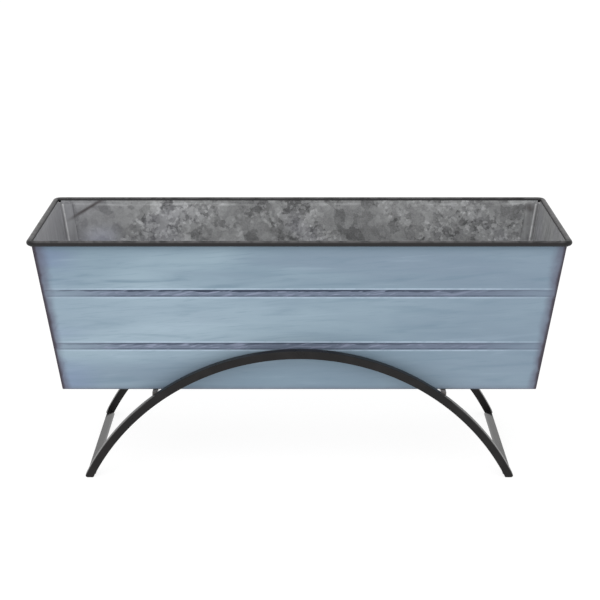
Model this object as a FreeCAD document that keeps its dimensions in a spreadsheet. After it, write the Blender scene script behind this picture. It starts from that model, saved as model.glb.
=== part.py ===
"""Raised planter: a tapered sheet-metal trough that rests in a stand of two arches.

Lengths are in millimetres. +X runs along the trough, +Y to its back and +Z up. The origin is on the
floor, under the middle of the trough.
"""
import FreeCAD, Part
import Sketcher
import math
import os

from FreeCAD import Placement, Rotation, Vector

# The driving dimensions. Each becomes a cell of the sheet, beside its meaning.
DIMENSIONS = {
    "trough_length": (610.0, "over the rolled rim, left to right"),
    "trough_depth": (203.0, "over the rolled rim, front to back"),
    "rim_height": (284.7, "floor to the middle of the rim wire"),
    "base_height": (104.8, "floor to the underside of the trough"),
    "end_inset": (24.6, "how far each end leans in from the rim to the base"),
    "side_inset": (10.8, "how far the front and back lean in from the rim to the base"),
    "gauge": (0.8, "sheet thickness"),
    "bead_radius": (3.3, "outside radius of the rolled rim"),
    "curl_tuck": (1.1, "how far the rolled edge runs on past the rim's lowest point"),
    "wire_radius": (2.3, "radius of the wire inside the rim"),
    "wire_bend": (6.0, "centre-line radius of the wire at a corner"),
    "upper_rib": (224.6, "floor to the middle of the upper rib"),
    "lower_rib": (159.6, "floor to the middle of the lower rib"),
    "rib_half": (4.2, "half the height of a rib"),
    "rib_sink": (1.2, "how deep a rib is pressed in"),
    "ledge": (8.0, "width of the turned-in foot of the front and back"),
    "lap": (16.0, "width of an end panel's flange inside the front or back"),
    "slack": (0.1, "gap between sheets that lie on each other"),
    "bar_side": (9.5, "side of the square bar of the arches"),
    "arch_radius": (271.5, "inside radius of an arch"),
    "arch_drop": (123.6, "how far the middle of an arch's circle lies below the floor"),
    "foot_round": (2.5, "radius of the outer corner of a foot"),
    "foot_bar_top": (9.4, "floor to the highest edge of a foot bar"),
    "foot_bar_fall": (6.0, "how far a foot bar's sloping face comes in"),
    "foot_bar_step": (2.9, "floor to the low edge of a foot bar's sloping face"),
    "foot_bar_toe": (1.8, "how far a foot bar reaches in below its sloping face"),
    "stand_depth": (200.0, "over the two arches, front to back"),
    "rest_bar": (6.4, "side of the square bars that the trough rests on"),
    "rest_place": (167.0, "middle of the stand to the middle of a rest bar"),
    "rest_height": (104.5, "floor to the top of a rest bar"),
}
CUT_MARGIN = 10.0  # how far a trimming outline reaches past the sheet that it trims


class Size:
    """A length that knows both its value and the sheet expression that gives it."""

    def __init__(self, value, text):
        self.value = float(value)
        self.text = text

    def _join(self, first, sign, second, value):
        return Size(value, f"({wording(first)} {sign} {wording(second)})")

    def __add__(self, other):
        return self._join(self, "+", other, self.value + number(other))

    def __sub__(self, other):
        return self._join(self, "-", other, self.value - number(other))

    def __rsub__(self, other):
        return self._join(other, "-", self, number(other) - self.value)

    def __mul__(self, other):
        return self._join(self, "*", other, self.value * number(other))

    def __truediv__(self, other):
        return self._join(self, "/", other, self.value / number(other))

    def __neg__(self):
        return 0 - self


def number(item):
    """The value of a Size, or a plain number as it is."""
    return item.value if isinstance(item, Size) else float(item)


def wording(item):
    """The expression of a Size, or a plain number as text."""
    return item.text if isinstance(item, Size) else str(float(item))


def root(size):
    """The square root of a Size."""
    return Size(math.sqrt(size.value), f"sqrt({size.text})")


def fill_sheet(doc):
    """Writes the dimensions into a spreadsheet and returns them as Sizes, by name."""
    sheet = doc.addObject("Spreadsheet::Sheet", "sizes")
    sizes = {}
    for row, (name, (value, meaning)) in enumerate(DIMENSIONS.items(), start=1):
        sheet.set(f"A{row}", str(value))
        sheet.set(f"B{row}", meaning)
        sheet.setAlias(f"A{row}", name)
        sizes[name] = Size(value, f"sizes.{name}")
    doc.recompute()
    return sizes


# ---------------------------------------------------------------- sketch helpers


def new_body(doc, label, turn=0.0):
    """A PartDesign body, turned about the upright axis by so many degrees."""
    body = doc.addObject("PartDesign::Body", label)
    body.Label = label
    body.Placement = Placement(Vector(0, 0, 0), Rotation(Vector(0, 0, 1), turn))
    return body


def new_sketch(body, plane, name, lift=None):
    """A sketch on one of the body's own planes, raised along the plane's normal by lift."""
    sketch = body.newObject("Sketcher::SketchObject", f"{body.Name}_{name}")
    origin = [item for item in body.Origin.OriginFeatures if item.Role == plane][0]
    sketch.AttachmentSupport = [(origin, "")]
    sketch.MapMode = "FlatFace"
    if lift is not None:
        sketch.AttachmentOffset = Placement(Vector(0, 0, lift.value), Rotation())
        sketch.setExpression("AttachmentOffset.Base.z", lift.text)
    return sketch


def fix(sketch, kind, *where, size):
    """Adds a dimension to a sketch and binds it to the sheet."""
    index = sketch.addConstraint(Sketcher.Constraint(kind, *where, size.value))
    sketch.setExpression(f"Constraints[{index}]", size.text)


def fix_point(sketch, edge, end, point):
    """Places one end of an edge (1 its start, 2 its finish, 3 its centre) at a point of Sizes."""
    fix(sketch, "DistanceX", -1, 1, edge, end, size=point[0])
    fix(sketch, "DistanceY", -1, 1, edge, end, size=point[1])


def meet(sketch, first, second):
    """Makes two ends, each an edge and an end number, the same point."""
    sketch.addConstraint(Sketcher.Constraint("Coincident", *first, *second))


def line(sketch, start, finish):
    """Draws a line between two points of Sizes or numbers and returns its edge number."""
    ends = [Vector(number(point[0]), number(point[1]), 0) for point in (start, finish)]
    return sketch.addGeometry(Part.LineSegment(*ends), False)


def arc(sketch, centre, radius, start, finish):
    """Draws an arc that turns from the start angle to the finish, in degrees, and fixes its radius."""
    middle = Vector(number(centre[0]), number(centre[1]), 0)
    circle = Part.Circle(middle, Vector(0, 0, 1), number(radius))
    edge = sketch.addGeometry(Part.ArcOfCircle(circle, math.radians(start), math.radians(finish)), False)
    fix(sketch, "Radius", edge, size=radius)
    return edge


def polygon(sketch, points):
    """Draws a closed outline with a fixed corner at each point."""
    edges = [line(sketch, point, points[(n + 1) % len(points)]) for n, point in enumerate(points)]
    for n, edge in enumerate(edges):
        meet(sketch, (edge, 2), (edges[(n + 1) % len(edges)], 1))
        fix_point(sketch, edge, 1, points[n])


def disc(sketch, centre, radius):
    """Draws a circle at a point of Sizes."""
    middle = Vector(number(centre[0]), number(centre[1]), 0)
    edge = sketch.addGeometry(Part.Circle(middle, Vector(0, 0, 1), radius.value), False)
    fix(sketch, "Radius", edge, size=radius)
    fix_point(sketch, edge, 3, centre)


def extrude(body, sketch, kind, length):
    """Pads or pockets a sketch by the same length both ways from its plane."""
    feature = body.newObject(f"PartDesign::{kind}", f"{sketch.Name}_{kind}")
    feature.Profile = sketch
    feature.Midplane = True
    feature.Length = length.value
    feature.setExpression("Length", length.text)
    return feature


# ---------------------------------------------------------------- the trough


class Wall:
    """The line of a leaning wall: how far its inner face is from the middle at each height."""

    def __init__(self, sizes, span, inset):
        """Args: sizes, the sheet; span, the trough's size over the rims; inset, how far it leans."""
        self.sizes = sizes
        self.bead = span / 2 - sizes["bead_radius"]
        self.top = span / 2 - sizes["bead_radius"] * 2
        self.lean = inset / (sizes["rim_height"] - sizes["base_height"])

    def inner(self, height):
        """The inner face at a height."""
        return self.top - self.lean * (self.sizes["rim_height"] - height)

    def outer(self, height):
        """The outer face at a height."""
        return self.inner(height) + self.sizes["gauge"]


def rib_arc(sketch, sizes, face, height):
    """Draws one side of a pressed-in rib and returns its edge, whose start is the upper end."""
    half, sink = sizes["rib_half"], sizes["rib_sink"]
    radius = (half * half + sink * sink) / (sink * 2)
    spread = math.degrees(math.asin(half.value / radius.value))
    centre = (face(height) + radius - sink, height)
    edge = arc(sketch, centre, radius, 180 - spread, 180 + spread)
    fix_point(sketch, edge, 1, (face(height + half), height + half))
    fix_point(sketch, edge, 2, (face(height - half), height - half))
    return edge


def curl_arc(sketch, sizes, wall, radius):
    """Draws the rolled edge at one radius: it starts at the free edge and ends level with the wire."""
    tuck = sizes["curl_tuck"]
    begin = -math.degrees(math.acos(-tuck.value / radius.value))
    edge = arc(sketch, (wall.bead, sizes["rim_height"]), radius, begin, 180)
    fix_point(sketch, edge, 3, (wall.bead, sizes["rim_height"]))
    fix(sketch, "DistanceX", -1, 1, edge, 1, size=wall.bead - tuck)
    fix(sketch, "DistanceY", -1, 1, edge, 2, size=sizes["rim_height"])
    return edge


def draw_face(sketch, sizes, face, ribs, foot, top):
    """Draws one face of a wall up from foot to the end of the edge top, broken by its ribs."""
    start = foot
    previous = None
    for height in ribs:
        rib = rib_arc(sketch, sizes, face, height)
        half = sizes["rib_half"]
        run = line(sketch, start, (face(height - half), height - half))
        if previous is None:
            fix_point(sketch, run, 1, foot)
            first = run
        else:
            meet(sketch, (previous, 1), (run, 1))
        meet(sketch, (run, 2), (rib, 2))
        start = (face(height + half), height + half)
        previous = rib
    last = line(sketch, start, (face(sizes["rim_height"]), sizes["rim_height"]))
    if previous is None:
        fix_point(sketch, last, 1, foot)
        first = last
    else:
        meet(sketch, (previous, 1), (last, 1))
    meet(sketch, (last, 2), (top, 2))
    return first


def panel_section(sketch, sizes, wall, ribs, ledge):
    """Draws a panel's section: its foot, its two faces with their ribs, and the rolled rim."""
    gauge, base = sizes["gauge"], sizes["base_height"]
    outer_curl = curl_arc(sketch, sizes, wall, sizes["bead_radius"])
    inner_curl = curl_arc(sketch, sizes, wall, sizes["bead_radius"] - gauge)
    free_edge = line(sketch, (wall.bead, base), (wall.bead, base + gauge))
    meet(sketch, (inner_curl, 1), (free_edge, 1))
    meet(sketch, (free_edge, 2), (outer_curl, 1))
    foot_out = (wall.outer(base), base)
    foot_in = (wall.inner(base + gauge), base + gauge) if ledge else (wall.inner(base), base)
    outside = draw_face(sketch, sizes, wall.outer, ribs, foot_out, inner_curl)
    inside = draw_face(sketch, sizes, wall.inner, ribs, foot_in, outer_curl)
    corners = [foot_in]
    if ledge:
        tip = wall.inner(base) - sizes["ledge"]
        corners += [(tip, base + gauge), (tip, base)]
    corners.append(foot_out)
    previous = (inside, 1)
    for start, finish in zip(corners, corners[1:]):
        edge = line(sketch, start, finish)
        meet(sketch, previous, (edge, 1))
        if previous != (inside, 1):
            fix_point(sketch, edge, 1, start)
        previous = (edge, 2)
    meet(sketch, previous, (outside, 1))


def trim_ends(body, sizes, plane, name, edge_at, foot_edge, rim_end, length):
    """Cuts both ends of a panel to the line edge_at, and its rolled rim at rim_end."""
    sketch = new_sketch(body, plane, name)
    base, rim = sizes["base_height"], sizes["rim_height"]
    low = base - CUT_MARGIN
    foot = base + sizes["gauge"] + sizes["slack"]
    neck = rim - sizes["bead_radius"] - sizes["gauge"]
    high = rim + sizes["bead_radius"] + CUT_MARGIN
    far = rim_end + CUT_MARGIN * 3
    right = [
        (foot_edge, low),
        (foot_edge, foot),
        (edge_at(foot), foot),
        (edge_at(neck), neck),
        (rim_end, neck),
        (rim_end, high),
        (far, high),
        (far, low),
    ]
    polygon(sketch, right)
    polygon(sketch, [(-across, height) for across, height in reversed(right)])
    extrude(body, sketch, "Pocket", length)


def long_panel(doc, sizes, label, turn):
    """The front or back: a ribbed wall with a turned-in foot below and the rolled rim above."""
    side = Wall(sizes, sizes["trough_depth"], sizes["side_inset"])
    end = Wall(sizes, sizes["trough_length"], sizes["end_inset"])
    body = new_body(doc, label, turn)
    section = new_sketch(body, "YZ_Plane", "section")
    panel_section(section, sizes, side, [sizes["lower_rib"], sizes["upper_rib"]], ledge=True)
    extrude(body, section, "Pad", sizes["trough_length"])
    foot_edge = end.inner(sizes["base_height"]) - sizes["slack"]
    rim_end = end.bead - sizes["wire_bend"]
    trim_ends(body, sizes, "XZ_Plane", "trim", end.outer, foot_edge, rim_end, sizes["trough_depth"] * 2)
    return body


def end_panel(doc, sizes, label, turn):
    """An end: a plain wall with the rolled rim, and a flange inside the front and the back."""
    side = Wall(sizes, sizes["trough_depth"], sizes["side_inset"])
    end = Wall(sizes, sizes["trough_length"], sizes["end_inset"])
    gauge = sizes["gauge"]

    def flange_face(height):
        return side.inner(height) - sizes["rib_sink"] - sizes["slack"]

    body = new_body(doc, label, turn)
    section = new_sketch(body, "XZ_Plane", "section")
    panel_section(section, sizes, end, [], ledge=False)
    extrude(body, section, "Pad", sizes["trough_depth"])
    rim_end = side.bead - sizes["wire_bend"]
    foot_edge = flange_face(sizes["base_height"])
    trim_ends(body, sizes, "YZ_Plane", "trim", flange_face, foot_edge, rim_end, sizes["trough_length"] * 2)
    heights = {
        "foot": sizes["base_height"] + gauge + sizes["slack"],
        "neck": sizes["rim_height"] - sizes["bead_radius"] - gauge * 2,
    }
    for side_name, way in (("front", -1), ("back", 1)):
        cuts = []
        for name, height in heights.items():
            cut = new_sketch(body, "XY_Plane", f"{side_name}_flange_{name}", lift=height)
            near, far = end.inner(height) - sizes["lap"], end.inner(height) + gauge / 2
            low, high = (flange_face(height) - gauge) * way, flange_face(height) * way
            polygon(cut, [(near, low), (far, low), (far, high), (near, high)])
            cuts.append(cut)
        flange = body.newObject("PartDesign::AdditiveLoft", f"{label}_{side_name}_flange")
        flange.Profile = cuts[0]
        flange.Sections = cuts[1:]
        flange.Ruled = True
    return body


def bottom_panel(doc, sizes):
    """The floor of the trough: a plate with turned-up ends."""
    side = Wall(sizes, sizes["trough_depth"], sizes["side_inset"])
    end = Wall(sizes, sizes["trough_length"], sizes["end_inset"])
    gauge, slack = sizes["gauge"], sizes["slack"]
    under = sizes["base_height"] + gauge + slack
    over = under + gauge
    lip = under + sizes["ledge"]
    body = new_body(doc, "bottom_panel")
    section = new_sketch(body, "XZ_Plane", "section")
    right = [
        (end.inner(under) - slack, under),
        (end.inner(lip) - slack, lip),
        (end.inner(lip) - slack - gauge, lip),
        (end.inner(over) - slack - gauge, over),
    ]
    polygon(section, right + [(-across, height) for across, height in reversed(right)])
    half_width = side.inner(sizes["base_height"]) - sizes["rib_sink"] - gauge - slack * 2
    extrude(body, section, "Pad", half_width * 2)
    return body


def rim_wire(doc, sizes):
    """The wire that the rims are rolled round: one loop with a round bend at each corner."""
    side = Wall(sizes, sizes["trough_depth"], sizes["side_inset"])
    end = Wall(sizes, sizes["trough_length"], sizes["end_inset"])
    bend = sizes["wire_bend"]
    body = new_body(doc, "rim_wire")
    path = new_sketch(body, "XY_Plane", "path", lift=sizes["rim_height"])
    corners = [(1, 1, 0), (-1, 1, 90), (-1, -1, 180), (1, -1, 270)]
    bends = []
    for x_way, y_way, start in corners:
        centre = ((end.bead - bend) * x_way, (side.bead - bend) * y_way)
        edge = arc(path, centre, bend, start, start + 90)
        fix_point(path, edge, 3, centre)
        bends.append(edge)
    for n, edge in enumerate(bends):
        following = bends[(n + 1) % len(bends)]
        run = path.addGeometry(Part.LineSegment(path.getPoint(edge, 2), path.getPoint(following, 1)), False)
        path.addConstraint(Sketcher.Constraint("Tangent", edge, 2, run, 1))
        path.addConstraint(Sketcher.Constraint("Tangent", run, 2, following, 1))
    section = new_sketch(body, "YZ_Plane", "section")
    disc(section, (side.bead, sizes["rim_height"]), sizes["wire_radius"])
    pipe = body.newObject("PartDesign::AdditivePipe", "rim_wire_pipe")
    pipe.Profile = section
    pipe.Spine = path
    return body


# ---------------------------------------------------------------- the stand


def arch(doc, sizes, label, way):
    """One arch of square bar, cut level with the floor, at the front (way -1) or back (way 1)."""
    bar, inside, drop = sizes["bar_side"], sizes["arch_radius"], sizes["arch_drop"]
    body = new_body(doc, label)
    place = (sizes["stand_depth"] - bar) / 2 * way
    body.Placement.Base.y = place.value
    body.setExpression("Placement.Base.y", place.text)
    sketch = new_sketch(body, "XZ_Plane", "outline")
    centre = (Size(0, "0"), -drop)
    edges = []
    for radius in (inside, inside + bar):
        tilt = math.degrees(math.asin(drop.value / radius.value))
        edge = arc(sketch, centre, radius, tilt, 180 - tilt)
        fix_point(sketch, edge, 3, centre)
        for end in (1, 2):
            sketch.addConstraint(Sketcher.Constraint("PointOnObject", edge, end, -1))
        edges.append(edge)
    for end in (1, 2):
        ends = [sketch.getPoint(edge, end) for edge in edges]
        foot = sketch.addGeometry(Part.LineSegment(*ends), False)
        meet(sketch, (edges[0], end), (foot, 1))
        meet(sketch, (edges[1], end), (foot, 2))
    pad = extrude(body, sketch, "Pad", bar)
    doc.recompute()
    rounding = body.newObject("PartDesign::Fillet", f"{label}_foot_round")
    rounding.Base = (pad, outer_foot_edges(pad.Shape))
    rounding.Radius = sizes["foot_round"].value
    rounding.setExpression("Radius", sizes["foot_round"].text)
    return body


def outer_foot_edges(shape):
    """The names of the two edges that run front to back at the outer corners of an arch's feet."""
    names = []
    reach = max(shape.BoundBox.XMax, -shape.BoundBox.XMin)
    for index, edge in enumerate(shape.Edges, start=1):
        ends = [vertex.Point for vertex in edge.Vertexes]
        on_floor = all(abs(point.z) < 0.01 for point in ends)
        at_corner = all(abs(abs(point.x) - reach) < 0.01 for point in ends)
        if on_floor and at_corner:
            names.append(f"Edge{index}")
    return names


def between_arches(sizes):
    """The clear distance from the front arch to the back one."""
    return sizes["stand_depth"] - sizes["bar_side"] * 2


def foot_bar(doc, sizes, label, turn):
    """A bar between two feet, from the front arch to the back one, its face sloping down inwards."""
    drop, top = sizes["arch_drop"], sizes["foot_bar_top"]
    outside = sizes["arch_radius"] + sizes["bar_side"]
    floor = Size(0, "0")

    def reach(height):
        return root(outside * outside - (drop + height) * (drop + height))

    body = new_body(doc, label, turn)
    section = new_sketch(body, "XZ_Plane", "section")
    step = reach(top) - sizes["foot_bar_fall"]
    corners = [
        (step - sizes["foot_bar_toe"], floor),
        (reach(floor) - sizes["foot_round"], floor),
        (reach(top), top),
        (step, sizes["foot_bar_step"]),
    ]
    polygon(section, corners)
    extrude(body, section, "Pad", between_arches(sizes))
    return body


def rest_bar(doc, sizes, label, way):
    """A square bar that the trough rests on, at the left (way -1) or right (way 1)."""
    box = doc.addObject("Part::Box", label)
    box.Label = label
    side, between = sizes["rest_bar"], between_arches(sizes)
    settings = {
        "Length": side,
        "Width": between,
        "Height": side,
        "Placement.Base.x": sizes["rest_place"] * way - side / 2,
        "Placement.Base.y": -between / 2,
        "Placement.Base.z": sizes["rest_height"] - side,
    }
    for name, size in settings.items():
        box.setExpression(name, size.text)
    return box


# ---------------------------------------------------------------- the whole planter


def build(doc):
    """Makes every piece and returns them."""
    sizes = fill_sheet(doc)
    pieces = [
        long_panel(doc, sizes, "back_panel", turn=0),
        long_panel(doc, sizes, "front_panel", turn=180),
        end_panel(doc, sizes, "right_end_panel", turn=0),
        end_panel(doc, sizes, "left_end_panel", turn=180),
        bottom_panel(doc, sizes),
        rim_wire(doc, sizes),
        arch(doc, sizes, "front_arch", -1),
        arch(doc, sizes, "back_arch", 1),
        foot_bar(doc, sizes, "left_foot_bar", turn=180),
        foot_bar(doc, sizes, "right_foot_bar", turn=0),
        rest_bar(doc, sizes, "left_rest_bar", -1),
        rest_bar(doc, sizes, "right_rest_bar", 1),
    ]
    doc.recompute()
    return pieces


def check(doc, pieces):
    """Stops if a feature failed or a piece isn't one valid solid."""
    for item in doc.Objects:
        if {"Invalid", "Error"} & set(item.State):
            raise RuntimeError(f"{item.Name} failed: {item.State}")
    for piece in pieces:
        shape = piece.Shape
        if shape.isNull() or not shape.isValid() or len(shape.Solids) != 1:
            raise RuntimeError(f"{piece.Label} isn't one valid solid")


def main():
    """Builds the planter, checks it and writes one STEP file for each piece."""
    doc = FreeCAD.newDocument("planter")
    pieces = build(doc)
    check(doc, pieces)
    os.makedirs("parts", exist_ok=True)
    for piece in pieces:
        piece.Shape.exportStep(f"parts/{piece.Label}.step")
        box = piece.Shape.BoundBox
        print(
            f"{piece.Label}: {piece.Shape.Volume:.0f} mm3,"
            f" x {box.XMin:.1f}..{box.XMax:.1f}, y {box.YMin:.1f}..{box.YMax:.1f},"
            f" z {box.ZMin:.1f}..{box.ZMax:.1f}"
        )


main()
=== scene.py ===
"""Raised planter: a blue sheet-metal trough with a rolled rim, resting in a stand of two arches.

Lengths are in metres, in the frame of the CAD model: +X runs along the trough, +Y to its back and
+Z up, with the origin on the floor under the middle of the trough.
"""
import sys

import logging
import math
from dataclasses import dataclass
from enum import Enum
from typing import Callable, Optional, Union

import bmesh
import bpy
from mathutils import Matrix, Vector


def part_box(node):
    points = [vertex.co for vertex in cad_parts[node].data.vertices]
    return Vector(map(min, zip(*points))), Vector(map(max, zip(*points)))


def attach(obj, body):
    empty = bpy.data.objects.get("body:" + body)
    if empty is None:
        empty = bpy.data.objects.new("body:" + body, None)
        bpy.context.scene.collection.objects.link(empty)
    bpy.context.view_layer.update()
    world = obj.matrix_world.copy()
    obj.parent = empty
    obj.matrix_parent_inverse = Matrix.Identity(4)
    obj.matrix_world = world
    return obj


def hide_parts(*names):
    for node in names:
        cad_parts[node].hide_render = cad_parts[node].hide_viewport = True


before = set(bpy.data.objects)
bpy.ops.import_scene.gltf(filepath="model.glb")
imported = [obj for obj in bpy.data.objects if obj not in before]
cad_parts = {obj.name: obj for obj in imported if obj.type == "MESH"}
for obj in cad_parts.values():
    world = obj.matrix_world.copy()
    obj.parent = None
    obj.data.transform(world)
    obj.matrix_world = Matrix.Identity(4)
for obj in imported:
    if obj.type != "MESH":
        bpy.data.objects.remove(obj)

MM = 0.001
TOUCH = 0.01 * MM  # points nearer than this count as touching
SMOOTH_ANGLE = math.radians(38)  # edges flatter than this are shaded smooth
log = logging.getLogger("planter")

Test = Callable[[Vector], bool]
Triple = tuple[float, float, float]
Colour = Triple
Run = tuple[float, float]  # where a smooth step starts and where it is full, in millimetres


def at(x: float = 0.0, y: float = 0.0, z: float = 0.0) -> Vector:
    """A point, a direction or a size."""
    return Vector((x, y, z))


UP = at(z=1)


class Axis(Enum):
    """The direction that a panel runs in."""

    X = 0
    Y = 1

    @property
    def across(self) -> "Axis":
        """The other level direction."""
        return Axis(1 - self.value)

    def vector(self, length: float) -> Vector:
        """A vector of some length along it."""
        step = at()
        step[self.value] = length
        return step


class Side(Enum):
    """Which way from the middle a piece of a pair lies."""

    NEAR = -1
    FAR = 1


class Pick(Enum):
    """What kind of element a selection is made of."""

    VERT = "VERT"
    EDGE = "EDGE"


# ---------------------------------------------------------------- the bench


class Workpiece:
    """One piece on the bench: a primitive that is shaped in edit mode until it is released."""

    def __init__(self, name: str) -> None:
        """Takes the primitive that was just added and opens it in edit mode.

        Args:
            name: the finished piece's name.
        """
        self.body = bpy.context.active_object
        self.body.name = name
        self.body.data.name = name
        bpy.ops.object.transform_apply(location=True, rotation=True, scale=True)
        bpy.ops.object.mode_set(mode="EDIT")

    @staticmethod
    def clear() -> None:
        """Deselects everything, so that an operator acts on the next piece alone."""
        bpy.ops.object.select_all(action="DESELECT")
        bpy.context.view_layer.objects.active = None

    def wear(self, materials: list[bpy.types.Material]) -> None:
        """Gives the piece its materials, in the order of its faces' indices."""
        for material in materials:
            self.body.data.materials.append(material)

    @classmethod
    def plane(cls, name: str, turn: Triple, size: Vector, centre: Vector) -> "Workpiece":
        """Starts from a flat square.

        Args:
            name: the finished piece's name.
            turn: the plane's rotation about X, Y and Z.
            size: its size along X, Y and Z, once turned.
            centre: where its middle goes.

        Returns:
            The piece, in edit mode.
        """
        cls.clear()
        bpy.ops.mesh.primitive_plane_add(size=1, rotation=turn)
        piece = cls(name)
        piece.scale(size, at())
        piece.move(centre)
        return piece

    @classmethod
    def block(cls, name: str, low: Vector, high: Vector) -> "Workpiece":
        """Starts from a box between two corners, in edit mode."""
        cls.clear()
        bpy.ops.mesh.primitive_cube_add(size=1)
        piece = cls(name)
        piece.scale(high - low, at())
        piece.move((low + high) / 2)
        return piece

    def pick(self, kind: Pick, test: Test) -> int:
        """Selects only the elements whose middle passes a test.

        Args:
            kind: vertices or edges.
            test: what a selected element's middle passes.

        Returns:
            How many are selected.
        """
        bpy.ops.mesh.select_all(action="DESELECT")
        bpy.ops.mesh.select_mode(type=kind.value)
        shape = bmesh.from_edit_mesh(self.body.data)
        if kind is Pick.VERT:
            found = [vert for vert in shape.verts if test(vert.co)]
        else:
            found = [
                edge for edge in shape.edges if test((edge.verts[0].co + edge.verts[1].co) / 2)
            ]
        for element in found:
            element.select_set(True)
        shape.select_flush_mode()
        bmesh.update_edit_mesh(self.body.data)
        return len(found)

    def pick_all(self) -> None:
        """Selects the whole piece."""
        bpy.ops.mesh.select_all(action="SELECT")

    def move(self, by: Vector) -> None:
        """Moves what is selected."""
        bpy.ops.transform.translate(value=by)

    def scale(self, by: Vector, about: Vector) -> None:
        """Scales what is selected about a point."""
        bpy.ops.transform.resize(value=by, center_override=about)

    def extrude(self, by: Vector) -> None:
        """Draws the selected edges out into faces."""
        bpy.ops.mesh.extrude_edges_move(TRANSFORM_OT_translate={"value": by})

    def cut(self, point: Vector, normal: Vector, trim: bool = False) -> None:
        """Cuts the whole piece along a plane.

        Args:
            point: a point of the plane.
            normal: the plane's direction.
            trim: whether the side that normal points to is cut away and closed.
        """
        self.pick_all()
        bpy.ops.mesh.bisect(
            plane_co=point, plane_no=normal, clear_outer=trim, use_fill=trim, threshold=TOUCH / 10
        )

    def bevel(self, width: float, segments: int, corners: bool = False) -> None:
        """Rounds the selected edges, or with corners the selected vertices of a flat outline."""
        bpy.ops.mesh.bevel(
            offset_type="OFFSET",
            offset=width,
            segments=segments,
            affect="VERTICES" if corners else "EDGES",
        )

    def spin(self, centre: Vector, axis: Vector, angle: float, steps: int) -> None:
        """Sweeps what is selected round an axis, by the right hand where the operator's is left."""
        bpy.ops.mesh.spin(steps=steps, angle=-angle, center=centre, axis=axis, use_auto_merge=False)

    def weld(self) -> None:
        """Merges doubled vertices and points the faces of a closed piece outwards."""
        self.pick_all()
        bpy.ops.mesh.remove_doubles(threshold=TOUCH)
        bpy.ops.mesh.normals_make_consistent(inside=False)

    def face_towards(self, target: Vector, near: Test) -> None:
        """Flips an open sheet if the faces that pass a test look away from a point."""
        self.pick_all()
        bpy.ops.mesh.normals_make_consistent(inside=False)
        shape = bmesh.from_edit_mesh(self.body.data)
        shape.normal_update()
        leaning = sum(
            face.normal.dot(target - face.calc_center_median()) * face.calc_area()
            for face in shape.faces
            if near(face.calc_center_median())
        )
        if leaning < 0:
            bpy.ops.mesh.flip_normals()

    def paint(self, test: Test, index: int) -> None:
        """Gives the faces whose middle passes a test one of the piece's materials."""
        shape = bmesh.from_edit_mesh(self.body.data)
        for face in shape.faces:
            if test(face.calc_center_median()):
                face.material_index = index
        bmesh.update_edit_mesh(self.body.data)

    def modify(self, kind: str, **settings: Union[float, int, bool, str]) -> None:
        """Adds a modifier in object mode and applies it at once."""
        bpy.ops.object.mode_set(mode="OBJECT")
        modifier = self.body.modifiers.new(kind.lower(), kind)
        for name, value in settings.items():
            setattr(modifier, name, value)
        bpy.ops.object.modifier_apply(modifier=modifier.name)
        bpy.ops.object.mode_set(mode="EDIT")

    def release(self, body: str, slot: str, node: str = "") -> bpy.types.Object:
        """Finishes the piece and hands it to its body.

        Args:
            body: the CAD body that it rides on.
            slot: the record's slot that its finish comes from; not used.
            node: the CAD node that it stands for, if any.

        Returns:
            The finished object.
        """
        bpy.ops.object.mode_set(mode="OBJECT")
        bpy.ops.object.shade_smooth_by_angle(angle=SMOOTH_ANGLE)
        self.modify("WEIGHTED_NORMAL", keep_sharp=True)
        bpy.ops.object.mode_set(mode="OBJECT")
        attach(self.body, body)
        if node:
            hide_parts(node)
        log.info("%s: %d faces on %s", self.body.name, len(self.body.data.polygons), body)
        return self.body


# ---------------------------------------------------------------- shader arithmetic


class Signal:
    """A number that varies over a surface. Python arithmetic on it adds Math nodes."""

    def __init__(self, recipe: "Recipe", socket: bpy.types.NodeSocket) -> None:
        """Wraps the output socket of a node of a recipe."""
        self.recipe = recipe
        self.socket = socket

    def _math(self, operation: str, *terms: "Term", clamp: bool = False) -> "Signal":
        """Joins numbers through one Math node."""
        settings = {"operation": operation, "use_clamp": clamp}
        node = self.recipe.node("ShaderNodeMath", settings, dict(enumerate(terms)))
        return Signal(self.recipe, node.outputs[0])

    def __add__(self, other: "Term") -> "Signal":
        """self + other."""
        return self._math("ADD", self, other)

    __radd__ = __add__

    def __sub__(self, other: "Term") -> "Signal":
        """self - other."""
        return self._math("SUBTRACT", self, other)

    def __rsub__(self, other: "Term") -> "Signal":
        """other - self."""
        return self._math("SUBTRACT", other, self)

    def __mul__(self, other: "Term") -> "Signal":
        """self * other."""
        return self._math("MULTIPLY", self, other)

    __rmul__ = __mul__

    def __truediv__(self, other: "Term") -> "Signal":
        """self / other."""
        return self._math("DIVIDE", self, other)

    def __neg__(self) -> "Signal":
        """self turned negative."""
        return self._math("MULTIPLY", self, -1.0)

    def __abs__(self) -> "Signal":
        """The size of self."""
        return self._math("ABSOLUTE", self)

    def clamp(self) -> "Signal":
        """self held between 0 and 1."""
        return self._math("ADD", self, 0.0, clamp=True)

    def rise(self, start: "Term", end: "Term") -> "Signal":
        """A smooth step from 0 where self is start to 1 where it is end."""
        settings = {"interpolation_type": "SMOOTHSTEP"}
        node = self.recipe.node("ShaderNodeMapRange", settings, {0: self, 1: start, 2: end})
        return Signal(self.recipe, node.outputs[0])

    def bump_at(self, middle: "Term", reach: float) -> "Signal":
        """1 where self is middle, falling smoothly to 0 at reach on either side."""
        return 1 - abs(self - middle).rise(0.0, reach)


Term = Union[Signal, float]


def linear(colour: Colour) -> tuple[float, float, float, float]:
    """A colour as painted on a chart, from 0 to 1, turned into the shader's linear values."""
    return tuple(((c + 0.055) / 1.055) ** 2.4 if c > 0.04 else c / 12.92 for c in colour) + (1.0,)


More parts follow.
